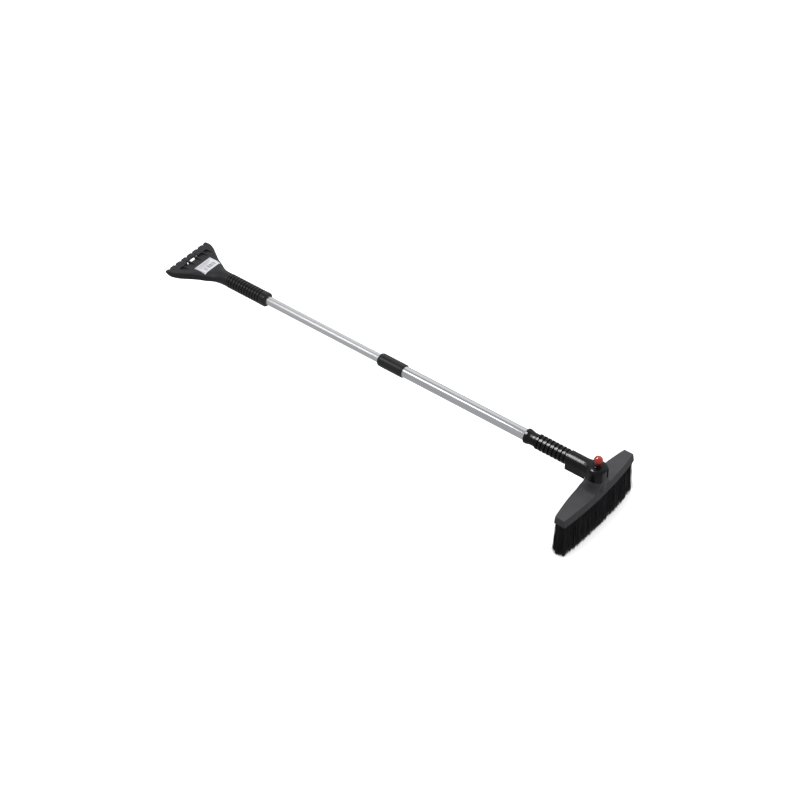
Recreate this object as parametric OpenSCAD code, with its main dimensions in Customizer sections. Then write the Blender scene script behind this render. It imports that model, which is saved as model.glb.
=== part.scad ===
// Telescopic snow broom with an ice scraper.
// The handle runs along X with the brush at +X and the scraper at -X.
// The origin is where the vertical swivel axis of the brush head meets the bristle tips. Z is up.
// The handle is drawn pulled out to its full length, with the brush head square to it.

/* [Whole broom] */
// Height of the handle axis above the bristle tips
axis_z = 122; // [100:1:140]
// Distance from the swivel axis to the tips of the scraper teeth
reach = 984; // [900:1:1100]

/* [Scraper head] */
// Width over the scraper teeth
blade_w = 117; // [90:1:140]
// Distance from one tooth to the next
tooth_pitch = 16.1; // [10:0.1:20]
// Depth of the notch between two teeth
notch_depth = 4.5; // [2:0.5:8]
// Length of the head from the teeth to the neck
head_len = 118; // [90:1:140]
// Radius of the round neck
neck_r = 13.8; // [11:0.1:16]
// Wall of the hollow moulding
skin = 3.2; // [2:0.1:5]
// Distance from one window rib to the next
rib_pitch = 18.5; // [14:0.5:22]
// Thickness of a window rib
rib_t = 3; // [2:0.5:6]
// How far the slot through the blade reaches to each side
slot_reach = 15; // [10:0.5:20]
// How far the pockets reach to each side
pocket_reach = 39; // [30:0.5:42]

/* [Scraper label] */
// Long side of the label, across the handle
label_w = 42; // [20:1:60]
// Short side of the label, along the handle
label_l = 27; // [15:1:40]
// Thickness of the label
label_t = 0.4; // [0.2:0.1:1]

/* [Tubes] */
// Radius of the inner tube
inner_r = 8.75; // [8:0.05:10]
// Wall of the inner tube
inner_wall = 1.1; // [0.8:0.1:2]
// Radius of the outer tube
outer_r = 11.1; // [10:0.05:13]
// Wall of the outer tube
outer_wall = 1.4; // [0.8:0.1:2]
// How far the inner tube slides in
travel = 274; // [200:1:280]

/* [Hand grip] */
// Radius over the grip ribs
grip_r = 14.3; // [12:0.1:16]
// Length of the hand grip
grip_len = 97; // [80:1:130]
// Distance from one grip rib to the next
grip_pitch = 6.75; // [5:0.25:10]
// Depth of a grip groove
groove = 1.1; // [0.4:0.1:2]

/* [Mouth sleeve of the outer tube] */
// Radius of the sleeve
sleeve_r = 13.3; // [11.8:0.1:15]
// Length of the sleeve
sleeve_len = 58; // [40:1:70]

/* [Brush side grip and pivot housing] */
// Radius over the ribs
rib_r = 14.6; // [13:0.1:17]
// Number of ribs
rib_count = 8; // [4:1:12]
// Distance from one rib to the next
rib_step = 8.45; // [6:0.05:12]
// Half width of the channel behind the pivot
channel_r = 15.3; // [14:0.1:18]
// Outer radius of the pivot cup
cup_r = 19.9; // [18:0.1:24]
// Wall of the channel and the cup
cup_wall = 2.3; // [2:0.1:4]
// Half angle of the window in the front of the cup
window_a = 28; // [20:1:40]

/* [Release button] */
// Radius of the ball
ball_r = 8.4; // [6:0.1:10]
// How far the button is pressed
press = 3; // [2:0.5:4]
// Radius of the steel stem
stem_r = 3; // [2:0.1:4]

/* [Brush head] */
// Length of the brush head
brush_len = 219; // [180:1:260]
// Furthest point of the rear edge behind the pivot
rear_bulge = 25.5; // [20:0.5:35]
// Furthest point of the front edge ahead of the pivot
front_bulge = 16.5; // [12:0.5:25]
// How far the rear edge curves from its middle to its ends
rear_sag = 11.5; // [5:0.5:20]
// How far the front edge curves from its middle to its ends
front_sag = 7; // [2:0.5:15]
// Height of the head's lower edge above the bristle tips
skirt_z = 73; // [60:1:80]
// Height of the head's flat top above the bristle tips
deck_z = 89; // [80:1:95]
// Rows of bristles
row_count = 4; // [3:1:6]

/* [Hidden] */
fit = 0.05;
gap = 0.3;
fine = 96;
neck_x = head_len - reach;
grip_end_x = neck_x + grip_len;
inner_end_x = -385;
sleeve_x = -492;
outer_start_x = sleeve_x + 5;
channel_x = -60;
outer_end_x = channel_x;
inner_bore = inner_r - inner_wall;
outer_bore = outer_r - outer_wall;
flange_x = -154;
cup_top_z = axis_z + 16.5;
plate_z = axis_z + 13;
cup_low_z = axis_z - 8.7;
channel_low_z = axis_z - 16.4;
cup_bore = cup_r - cup_wall;
turret_r = cup_bore - gap;
turret_top_z = plate_z - 0.7;
turret_plate = 3.8;
turret_wall = 5.7;
inner_turret = turret_r - turret_wall;
hub_r = 5;
collar_top_z = cup_top_z + 1.5;
hub_low_z = axis_z + 4.6;
flare_x = -24;
flare_end = -4.5;
ball_z = axis_z + 29.8;
button_low_z = collar_top_z + press + 0.4;
spring_top_z = ball_z + 0.2;
clutch_top_z = axis_z + 0.5;
clutch_low_z = axis_z - 5;
block_low_z = skirt_z + 1;
block_top_z = skirt_z + 13.6;
socket_z = block_low_z + 4;
half_len = brush_len / 2;
lean = 2.5;
ring_points = 36;

// Puts a shape drawn about the Z axis on the handle axis, with its Z along X.
module on_handle(x = 0) {
    translate([x, 0, axis_z])
        rotate([0, 90, 0])
            children();
}

// A straight round bar or bore along the handle.
module bar(x0, x1, r) {
    on_handle(x0)
        cylinder(h = x1 - x0, r = r, $fn = fine);
}

// A body of revolution about the handle axis, from [distance along X, radius] pairs.
module turned(profile) {
    on_handle()
        rotate_extrude($fn = fine)
            polygon([for (p = profile) [p[1], p[0]]]);
}

// A body of revolution about the swivel axis, from [radius, height] pairs.
module spun(profile) {
    rotate_extrude($fn = fine)
        polygon(profile);
}

// Corner points of one trapezoid rib centred at x.
function rib(x, foot, crown, low, high) = [
    [x - foot / 2, low], [x - crown / 2, high], [x + crown / 2, high], [x + foot / 2, low]
];

// Half width of the scraper head at a distance u behind the tooth tips.
function half_width(u) = 8 + (blade_w / 2 - 8) / (1 + pow(u / 56.8, 2.62));
function top_height(u) = lookup(u, [[0, 2], [10, 4.2], [22, 5.6], [60, 8], [88, 9.6], [head_len, neck_r]]);
function low_height(u) =
    lookup(u, [[0, -1.5], [4, -4], [10, -6.8], [30, -8], [70, -8.6], [head_len, -neck_r]]);
function squareness(u) =
    lookup(u, [[0, 7], [12, 6], [74, 6], [94, 3], [head_len, 2]]);
function bent(v, n) = sign(v) * pow(abs(v), 2 / n);

// One cross-section of the scraper head, from a flat blade to a round neck.
function ring(u) = [
    for (i = [0 : ring_points - 1])
        let (
            a = 360 * (i + 0.5) / ring_points,
            n = squareness(u),
            mid = (top_height(u) + low_height(u)) / 2,
            rise = (top_height(u) - low_height(u)) / 2,
            wide = u < head_len ? half_width(u) : neck_r
        )
        [u - reach, wide * bent(cos(a), n), axis_z + mid + rise * bent(sin(a), n)]
];

module fan_solid() {
    stations = concat([0, 2, 4, 7, 10], [for (u = [14 : 4 : 50]) u], [for (u = [55 : 7 : head_len]) u]);
    last = len(stations) - 1;
    points = [for (u = stations) each ring(u)];
    sides = [
        for (s = [0 : last - 1])
            for (i = [0 : ring_points - 1])
                let (
                    a = s * ring_points + i,
                    b = s * ring_points + (i + 1) % ring_points
                )
                each [[a, a + ring_points, b], [b, a + ring_points, b + ring_points]]
    ];
    front = [for (i = [0 : ring_points - 1]) i];
    back = [for (i = [ring_points - 1 : -1 : 0]) last * ring_points + i];
    polyhedron(points = points, faces = concat([front], sides, [back]));
}

// The hollow under the blade, open downwards.
module fan_hollow() {
    lip = 9;
    deep = 84;
    steps = [for (u = [lip : 5 : deep]) u];
    intersection() {
        translate([0, 0, axis_z - 20])
            linear_extrude(height = 40)
                polygon(concat(
                    [for (u = steps) [u - reach, half_width(u) - skin]],
                    [for (i = [len(steps) - 1 : -1 : 0]) [steps[i] - reach, skin - half_width(steps[i])]]
                ));
        translate([-reach, blade_w / 2, axis_z])
            rotate([90, 0, 0])
                linear_extrude(height = blade_w)
                    polygon([
                        [lip, -20], [lip, 0.8], [14, 1.6], [19, -1.6], [23, -1.6], [42, 3.2],
                        [60, 8 - skin], [deep, 3.5], [deep, -20]
                    ]);
    }
}

// Five sloping pockets behind the blade, with an upright rib between each two.
module ice_pockets() {
    wide = rib_pitch - rib_t;
    for (k = [-2 : 2]) {
        near = max(k * rib_pitch - wide / 2, -pocket_reach);
        far = min(k * rib_pitch + wide / 2, pocket_reach);
        translate([-reach, far, axis_z])
            rotate([90, 0, 0])
                linear_extrude(height = far - near)
                    polygon([[19.5, 20], [19.5, 1.4], [41, 6.9], [43, 20]]);
    }
}

// A slot through the blade in front of the pockets. The two middle ribs cross it.
module ice_windows() {
    wide = rib_pitch - rib_t;
    for (k = [-1 : 1]) {
        near = max(k * rib_pitch - wide / 2, -slot_reach);
        far = min(k * rib_pitch + wide / 2, slot_reach);
        translate([14 - reach, near, axis_z - 4])
            cube([6, far - near, 24]);
    }
}

// Blunt notches that leave eight teeth on the blade's straight edge.
module tooth_notches() {
    for (k = [-3 : 3])
        translate([-reach, k * tooth_pitch, axis_z - 15])
            linear_extrude(height = 30)
                polygon([
                    [-5, -3.6], [0, -2.4], [notch_depth - 1, -1.3], [notch_depth, -0.5],
                    [notch_depth, 0.5], [notch_depth - 1, 1.3], [0, 2.4], [-5, 3.6]
                ]);
}

module scraper_head() {
    spigot = 40;
    color("#3a3b3e")
        difference() {
            union() {
                difference() {
                    fan_solid();
                    fan_hollow();
                    ice_pockets();
                    ice_windows();
                    tooth_notches();
                }
                bar(neck_x - 6, neck_x + spigot, inner_bore);
            }
            translate([neck_x + 22, 0, axis_z - 12])
                cylinder(h = 24, r = 2, $fn = fine);
        }
}

module scraper_label() {
    tilt = atan((top_height(72) - top_height(46)) / 26);
    color("#e8e8ea")
        translate([59 - reach, 0, axis_z + top_height(59) + 0.05])
            rotate([0, -tilt, 0])
                translate([-label_l / 2, -label_w / 2, 0])
                    cube([label_l, label_w, label_t]);
}

module scraper_pin() {
    long = 2 * inner_r - 0.6;
    color("#9a9ca0")
        translate([neck_x + 22, 0, axis_z - long / 2])
            cylinder(h = long, r = 2, $fn = fine);
}

module hand_grip() {
    collar = 15;
    ribs = floor((grip_len - collar) / grip_pitch);
    first = neck_x + grip_pitch / 2;
    outline = concat(
        [[neck_x, inner_r], [neck_x, grip_r - groove]],
        [for (k = [0 : ribs - 1]) each rib(first + k * grip_pitch, 5.6, 4.2, grip_r - groove, grip_r)],
        [
            [grip_end_x - collar, grip_r - groove], [grip_end_x - collar + 1, grip_r + 0.2],
            [grip_end_x - 1.5, grip_r + 0.2], [grip_end_x, grip_r - 1], [grip_end_x, inner_r]
        ]
    );
    color("#1c1d1f")
        turned(outline);
}

module inner_tube() {
    color("#c4c6ca")
        difference() {
            bar(neck_x, inner_end_x, inner_r);
            bar(neck_x - 1, inner_end_x + 1, inner_bore);
            translate([neck_x + 22, 0, axis_z - 12])
                cylinder(h = 24, r = 2, $fn = fine);
        }
}

// Plug in the end of the inner tube, with the spindle that carries the lock.
module lock_plug() {
    x = inner_end_x;
    color("#26272a")
        turned([
            [x - 30, 0], [x - 30, inner_bore - 0.6], [x - 29, inner_bore], [x, inner_bore],
            [x, outer_bore - 0.5], [x + 3, outer_bore - 0.5], [x + 3, 5], [x + 16, 5],
            [x + 16, 3], [x + 25, 3], [x + 25, 0]
        ]);
}

// Split sleeve that the cone spreads against the bore of the outer tube.
module lock_sleeve() {
    x = inner_end_x + 4;
    color("#d8d3c4")
        difference() {
            turned([
                [x, 5 + fit], [x, outer_bore - 0.6], [x + 0.5, outer_bore - 0.08],
                [x + 16, outer_bore - 0.08], [x + 16, 9], [x + 12.2, 5 + fit]
            ]);
            translate([x - 1, -1, axis_z])
                cube([20, 2, 15]);
        }
}

module expander_cone() {
    x = inner_end_x + 17;
    color("#2f3033")
        turned([
            [x, 3], [x, 5], [x + 3.5, 8.6], [x + 8, 8.6], [x + 8, 3]
        ]);
}

// Plastic sleeve over the end of the outer tube. Its mouth guides the inner tube.
module mouth_sleeve() {
    x = sleeve_x;
    color("#232427")
        turned([
            [x, inner_r + fit], [x, 10.6], [x + 0.6, 11.6], [x + 2, 12.6], [x + 4.5, sleeve_r],
            [x + sleeve_len - 1.2, sleeve_r], [x + sleeve_len, sleeve_r - 0.4],
            [x + sleeve_len, outer_r], [outer_start_x, outer_r], [outer_start_x, inner_r + fit]
        ]);
}

module outer_tube() {
    color("#d4d6da")
        difference() {
            bar(outer_start_x, outer_end_x, outer_r);
            bar(outer_start_x - 1, outer_end_x + 1, outer_bore);
        }
}

// Plug that closes the brush end of the outer tube and takes the screw.
module tube_plug() {
    x = outer_end_x;
    color("#2b2c2f")
        difference() {
            turned([
                [x - 15, 0], [x - 15, outer_bore - 0.8], [x - 14, outer_bore],
                [x, outer_bore], [x, 0]
            ]);
            bar(x - 12, x + 1, 2);
        }
}

module plug_screw() {
    x = outer_end_x;
    color("#9a9ca0")
        difference() {
            turned([
                [x - 12, 0], [x - 12, 1], [x - 10.5, 2], [x + 4, 2],
                [x + 4, 4], [x + 5.5, 4], [x + 6.7, 2.8], [x + 6.7, 0]
            ]);
            for (a = [0, 90])
                translate([x + 5.5, 0, axis_z])
                    rotate([a, 0, 0])
                        translate([0, -0.5, -2])
                            cube([3, 1, 4]);
        }
}

// Round-topped channel section, swept along the handle.
module channel(x0, x1, r, low) {
    bar(x0, x1, r);
    translate([x0, -r, low])
        cube([x1 - x0, 2 * r, axis_z - low]);
}

// Side walls that spread from the channel to the cup.
module cup_flare() {
    wide = cup_r - 0.5;
    on_handle(flare_x)
        intersection() {
            cylinder(h = flare_end - flare_x, r1 = channel_r, r2 = wide, $fn = fine);
            translate([-channel_r, -cup_r, 0])
                cube([2 * channel_r, 2 * cup_r, flare_end - flare_x]);
        }
    translate([0, 0, cup_low_z])
        linear_extrude(height = axis_z - cup_low_z)
            polygon([
                [flare_x, -channel_r], [flare_end, -wide], [flare_end, wide], [flare_x, channel_r]
            ]);
}

module grip_housing() {
    back_x = channel_x + 4;
    ribs_x = -126.2;
    valley = rib_r - 1.5;
    outline = concat(
        [
            [flange_x, 0], [flange_x, 13.6], [flange_x + 1, 14.4], [flange_x + 6, 14.4],
            [flange_x + 8.5, 13.2], [flange_x + 15, 12.4], [flange_x + 20, 12.3], [ribs_x - 4.6, valley]
        ],
        [for (k = [0 : rib_count - 1]) each rib(ribs_x + k * rib_step, 6.2, 3.4, valley, rib_r)],
        [[channel_x - 2.5, valley], [channel_x, channel_r], [back_x, channel_r], [back_x, 0]]
    );
    color("#17181a")
        difference() {
            union() {
                turned(outline);
                channel(channel_x, 0, channel_r, channel_low_z);
                cup_flare();
                spun([
                    [0, cup_low_z], [cup_r, cup_low_z], [cup_r, cup_top_z - 6.8],
                    [cup_r - 0.4, cup_top_z - 4.9], [cup_r - 1.5, cup_top_z - 3.3],
                    [cup_r - 3.7, cup_top_z - 1.9], [cup_r - 7.5, cup_top_z - 0.6],
                    [9, cup_top_z], [0, cup_top_z]
                ]);
            }
            // Socket for the outer tube.
            bar(flange_x - 1, outer_end_x, outer_r);
            // Screw hole through the back wall.
            bar(outer_end_x - 1, back_x + 1, 2.2);
            // Hollow of the channel, open downwards.
            channel(back_x, 0, channel_r - cup_wall, channel_low_z - 1);
            // Hollow of the cup.
            spun([
                [0, axis_z - 30], [cup_bore, axis_z - 30], [cup_bore, plate_z - 2.6],
                [cup_bore - 2.8, plate_z], [0, plate_z]
            ]);
            // Room for the shoulder of the brush head.
            translate([0, 0, axis_z - 30])
                cylinder(h = cup_low_z - axis_z + 30, r = cup_r + 2.1, $fn = fine);
            // Window in the front.
            translate([0, 0, axis_z - 30])
                linear_extrude(height = plate_z - axis_z + 30)
                    polygon([[0, 0], [30, -30 * tan(window_a)], [30, 30 * tan(window_a)]]);
            // Hole for the pivot bush.
            translate([0, 0, axis_z])
                cylinder(h = 30, r = hub_r, $fn = fine);
        }
}

// Flanged bush that carries the turret and guides the stem.
module pivot_bush() {
    color("#1d1e20")
        spun([
            [stem_r + fit, hub_low_z], [hub_r, hub_low_z], [hub_r, cup_top_z], [7.8, cup_top_z],
            [8.2, cup_top_z + 0.5], [7.6, collar_top_z], [stem_r + fit, collar_top_z]
        ]);
}

module thrust_washer() {
    color("#d9d4c5")
        translate([0, 0, turret_top_z + 0.1])
            difference() {
                cylinder(h = 0.6, r = 12, $fn = fine);
                translate([0, 0, -1])
                    cylinder(h = 3, r = hub_r, $fn = fine);
            }
}

// Ring pressed on the bush under the turret plate.
module retaining_ring() {
    top = turret_top_z - turret_plate - 0.2;
    color("#9a9ca0")
        translate([0, 0, top - 2.2])
            difference() {
                cylinder(h = 2.2, r = 8, $fn = fine);
                translate([0, 0, -1])
                    cylinder(h = 5, r = hub_r, $fn = fine);
            }
}

module release_button() {
    color("#c22a1e")
        difference() {
            union() {
                translate([0, 0, ball_z])
                    sphere(r = ball_r, $fn = fine);
                translate([0, 0, button_low_z])
                    cylinder(h = 5, r = 6, $fn = fine);
            }
            translate([0, 0, button_low_z - 3])
                cylinder(h = spring_top_z - button_low_z + 3, r = 5, $fn = fine);
            translate([0, 0, ball_z])
                cylinder(h = 4.5, r = stem_r, $fn = fine);
        }
}

module button_stem() {
    color("#a8aaae")
        translate([0, 0, clutch_low_z - 4])
            cylinder(h = ball_z + 4.5 - clutch_low_z + 4, r = stem_r, $fn = fine);
}

// Closed coil spring round the stem, built as one swept tube.
module button_spring() {
    wire = 0.55;
    coil_r = 4.1;
    turns = 6;
    per_turn = 20;
    sides = 6;
    low = collar_top_z + wire;
    rise = spring_top_z - wire - low;
    count = turns * per_turn;
    points = [
        for (i = [0 : count])
            let (a = 360 * i / per_turn, z = low + rise * i / count)
            for (j = [0 : sides - 1])
                let (b = 360 * j / sides, r = coil_r + wire * cos(b))
                [r * cos(a), r * sin(a), z + wire * sin(b)]
    ];
    skins = [
        for (i = [0 : count - 1])
            for (j = [0 : sides - 1])
                let (p = i * sides + j, q = i * sides + (j + 1) % sides)
                each [[p, q, p + sides], [q, q + sides, p + sides]]
    ];
    start = [for (j = [sides - 1 : -1 : 0]) j];
    end = [for (j = [0 : sides - 1]) count * sides + j];
    color("#b4b6ba")
        polyhedron(points = points, faces = concat([start], skins, [end]));
}

// Cone on the stem that the spring pulls up against the seat in the turret.
module clutch_cone() {
    color("#8d8f93")
        spun([
            [stem_r, clutch_low_z], [inner_turret - 0.9, clutch_low_z],
            [inner_turret - 3.3, clutch_top_z], [stem_r, clutch_top_z]
        ]);
}

module stem_nut() {
    color("#9a9ca0")
        translate([0, 0, clutch_low_z - 3])
            difference() {
                cylinder(h = 3, r = 5.7, $fn = 6);
                translate([0, 0, -1])
                    cylinder(h = 5, r = stem_r, $fn = fine);
            }
}

// Plan shape of the brush head between two large arcs, leaning in towards the top.
module lens(low, high, inset, lean) {
    rear_r = (pow(half_len, 2) + pow(rear_sag, 2)) / (2 * rear_sag);
    front_r = (pow(half_len, 2) + pow(front_sag, 2)) / (2 * front_sag);
    tall = high - low;
    long = brush_len - 2 * inset;
    intersection() {
        translate([rear_r - rear_bulge, 0, low])
            cylinder(h = tall, r1 = rear_r - inset, r2 = rear_r - inset - lean / 2, $fn = 256);
        translate([front_bulge - front_r, 0, low])
            cylinder(h = tall, r1 = front_r - inset, r2 = front_r - inset - lean, $fn = 256);
        translate([-60, -long / 2, low])
            cube([120, long, tall]);
    }
}

module brush_cover() {
    wall = 1.8;
    shoulder_z = cup_low_z - 0.8;
    under_plate = turret_top_z - turret_plate;
    color("#4a4b4e")
        difference() {
            union() {
                lens(skirt_z, deck_z, 0, lean);
                // Shoulder that spreads from the turret into the flat top.
                intersection() {
                    spun([
                        [0, deck_z - 3], [33, deck_z - 3], [33, deck_z], [28.5, deck_z + 1.3],
                        [25.3, deck_z + 4], [22.9, deck_z + 8.5], [21.4, deck_z + 14], [20.6, deck_z + 19],
                        [cup_r, shoulder_z - 0.6], [cup_r - 0.6, shoulder_z], [0, shoulder_z]
                    ]);
                    translate([0, 50, 0])
                        rotate([90, 0, 0])
                            linear_extrude(height = 100)
                                polygon([
                                    [-24, deck_z - 5], [-22.6, axis_z],
                                    [cup_r + 0.2, axis_z], [13, deck_z - 5]
                                ]);
                }
                spun([
                    [0, deck_z - 3], [turret_r, deck_z - 3], [turret_r, turret_top_z - 2.3],
                    [turret_r - 2.5, turret_top_z], [0, turret_top_z]
                ]);
            }
            // Hollow that takes the bristle block.
            lens(skirt_z - 1, deck_z - wall, wall, lean);
            // Hollow of the turret.
            translate([0, 0, clutch_top_z])
                cylinder(h = under_plate - clutch_top_z, r = inner_turret - 3, $fn = fine);
            translate([0, 0, clutch_low_z])
                cylinder(
                    h = clutch_top_z - clutch_low_z,
                    r1 = inner_turret - 0.5,
                    r2 = inner_turret - 2.9,
                    $fn = fine
                );
            translate([0, 0, skirt_z])
                cylinder(h = clutch_low_z - skirt_z, r = inner_turret, $fn = fine);
            // Bore that turns on the bush.
            translate([0, 0, axis_z])
                cylinder(h = 30, r = hub_r + fit, $fn = fine);
            block_holes(deck_z - wall - 1, deck_z - 1);
        }
}

// The four screw holes of the bristle block.
module block_holes(low, high) {
    for (y = [-78, -40, 40, 78])
        translate([-3, y, low])
            cylinder(h = high - low, r = 1.5, $fn = fine);
}

// Plan of one bristle row. Rows lie side by side between the two curved edges.
function edge_x(y, bulge, sag, way) = way * (bulge - sag * pow(y / half_len, 2));
function row_line(k, y) =
    let (
        rear = edge_x(y, rear_bulge, rear_sag, -1) + 3.6,
        front = edge_x(y, front_bulge, front_sag, 1) - 3.6
    )
    rear + (front - rear) * k / row_count;

module row_shape(k, low, high) {
    half_gap = 0.4;
    reach_y = half_len - 3.4;
    steps = [for (i = [-8 : 8]) reach_y * i / 8];
    translate([0, 0, low])
        linear_extrude(height = high - low)
            polygon(concat(
                [for (y = steps) [row_line(k - 1, y) + half_gap, y]],
                [for (i = [len(steps) - 1 : -1 : 0]) [row_line(k, steps[i]) - half_gap, steps[i]]]
            ));
}

module bristle_block() {
    color("#2a2b2e")
        difference() {
            lens(block_low_z, block_top_z, 2.4, 2.7);
            for (k = [1 : row_count])
                row_shape(k, block_low_z - 1, socket_z);
            block_holes(socket_z - 1, block_top_z + 1);
        }
}

module block_screws() {
    color("#9a9ca0")
        for (y = [-78, -40, 40, 78])
            translate([-3, y, socket_z])
                cylinder(h = deck_z - 3.6 + 2 - socket_z, r = 1.5, $fn = fine);
}

module bristle_row(k) {
    color("#141416")
        row_shape(k, 0, socket_z);
}

scraper_head();
scraper_label();
scraper_pin();
hand_grip();
inner_tube();
lock_plug();
lock_sleeve();
expander_cone();
mouth_sleeve();
outer_tube();
tube_plug();
plug_screw();
grip_housing();
pivot_bush();
thrust_washer();
retaining_ring();
release_button();
button_stem();
button_spring();
clutch_cone();
stem_nut();
brush_cover();
bristle_block();
block_screws();
bristle_row(1);  // bristle_row_1
bristle_row(2);  // bristle_row_2
bristle_row(3);  // bristle_row_3
bristle_row(4);  // bristle_row_4
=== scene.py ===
"""Telescopic snow broom with an ice scraper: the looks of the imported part, in the part's own frame."""

import math

import bpy
import numpy as np
from mathutils import Matrix, Vector


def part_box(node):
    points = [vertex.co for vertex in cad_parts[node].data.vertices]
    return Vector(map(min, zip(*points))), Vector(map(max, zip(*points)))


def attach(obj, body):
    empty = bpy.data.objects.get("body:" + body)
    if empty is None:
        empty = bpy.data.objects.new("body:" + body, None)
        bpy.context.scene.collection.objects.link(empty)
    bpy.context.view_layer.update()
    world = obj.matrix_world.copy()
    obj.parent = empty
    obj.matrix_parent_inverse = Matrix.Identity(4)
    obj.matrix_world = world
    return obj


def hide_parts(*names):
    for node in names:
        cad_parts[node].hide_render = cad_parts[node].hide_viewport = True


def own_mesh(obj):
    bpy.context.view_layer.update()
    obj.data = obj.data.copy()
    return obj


MM = 0.001

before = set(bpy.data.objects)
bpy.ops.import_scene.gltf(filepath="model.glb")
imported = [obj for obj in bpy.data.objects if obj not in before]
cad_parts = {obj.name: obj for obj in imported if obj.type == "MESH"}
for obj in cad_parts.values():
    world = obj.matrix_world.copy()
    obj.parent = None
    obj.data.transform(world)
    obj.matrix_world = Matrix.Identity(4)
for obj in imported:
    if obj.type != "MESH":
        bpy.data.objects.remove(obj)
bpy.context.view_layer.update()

# ---------------------------------------------------- places, read from the CAD nodes, in mm


def span(node):
    low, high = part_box(node)
    return np.array(low) / MM, np.array(high) / MM


tube_low, tube_high = span("outer_tube")
inner_low, inner_high = span("inner_tube")
grip_low, grip_high = span("hand_grip")
mouth_low, mouth_high = span("mouth_sleeve")
head_low, head_high = span("scraper_head")
house_low, house_high = span("grip_housing")
cover_low, cover_high = span("brush_cover")
bush_low, bush_high = span("pivot_bush")
ball_low, ball_high = span("release_button")
spring_low, spring_high = span("button_spring")
label_low, label_high = span("scraper_label")
block_low, _ = span("bristle_block")

AXIS_Z = (tube_low[2] + tube_high[2]) / 2
OUTER_R = (tube_high[1] - tube_low[1]) / 2
INNER_R = (inner_high[1] - inner_low[1]) / 2
REACH = -head_low[0]
NECK_U = grip_low[0] + REACH


# ---------------------------------------------------- meshes


def smooth(mesh, angle=35.0):
    mesh.shade_smooth()
    mesh.set_sharp_from_angle(angle=math.radians(angle))


def new_mesh(name, points, faces):
    """A mesh object from points in mm and faces given as rows of corner numbers."""
    mesh = bpy.data.meshes.new(name)
    points = np.asarray(points, np.float32) * MM
    mesh.vertices.add(len(points))
    mesh.vertices.foreach_set("co", points.ravel())
    sizes = np.concatenate([np.full(len(f), np.shape(f)[1]) for f in faces])
    corners = np.concatenate([np.asarray(f, np.int32).ravel() for f in faces])
    starts = np.concatenate([[0], np.cumsum(sizes)[:-1]]).astype(np.int32)
    mesh.loops.add(len(corners))
    mesh.loops.foreach_set("vertex_index", corners)
    mesh.polygons.add(len(sizes))
    mesh.polygons.foreach_set("loop_start", starts)
    mesh.update(calc_edges=True)
    mesh.validate()
    obj = bpy.data.objects.new(name, mesh)
    bpy.context.collection.objects.link(obj)
    return obj


def revolve(name, profile, along_x, steps=128, angle=35.0):
    """Turns a closed outline of [place along, radius] about the handle axis or the swivel axis."""
    profile = np.asarray(profile, float)
    count = len(profile)
    turn = np.arange(steps) * 2 * math.pi / steps
    along = np.repeat(profile[None, :, 0], steps, 0)
    radius = np.repeat(profile[None, :, 1], steps, 0)
    a = radius * np.cos(turn)[:, None]
    b = radius * np.sin(turn)[:, None]
    if along_x:
        points = np.stack([along, a, b + AXIS_Z], -1)
    else:
        points = np.stack([a, b, along], -1)
    ids = np.arange(steps * count).reshape(steps, count)
    nxt = np.roll(ids, -1, 0)
    up = np.roll(ids, -1, 1)
    quads = np.stack([ids, up, np.roll(nxt, -1, 1), nxt], -1).reshape(-1, 4)
    obj = new_mesh(name, points.reshape(-1, 3), [quads])
    if signed_volume(obj) < 0:
        obj.data.flip_normals()
    smooth(obj.data, angle)
    return obj


def signed_volume(obj):
    """Six times the volume that the faces close, negative if they face inwards."""
    mesh = obj.data
    mesh.calc_loop_triangles()
    corners = np.empty(len(mesh.loop_triangles) * 3, np.int32)
    mesh.loop_triangles.foreach_get("vertices", corners)
    points = np.empty(len(mesh.vertices) * 3, np.float32)
    mesh.vertices.foreach_get("co", points)
    t = points.reshape(-1, 3)[corners].reshape(-1, 3, 3).astype(float)
    return float(np.einsum("ij,ij->i", t[:, 0], np.cross(t[:, 1], t[:, 2])).sum())


# A moulded piece is described by a function that is negative inside it and close to the distance from
# its surface, in mm. Its mesh has one point in each cell that the surface crosses.


def soft_max(a, b, k):
    """The larger of two distances, with an edge rounded over about k mm."""
    h = np.clip(0.5 + 0.5 * (a - b) / k, 0, 1)
    return b + (a - b) * h + k * h * (1 - h)


def soft_min(a, b, k):
    return -soft_max(-a, -b, k)


CELL_EDGES = [
    (0, 1), (2, 3), (4, 5), (6, 7), (0, 2), (1, 3), (4, 6), (5, 7), (0, 4), (1, 5), (2, 6), (3, 7),
]
CELL_CORNERS = np.array([[c & 1, (c >> 1) & 1, (c >> 2) & 1] for c in range(8)])


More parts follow.
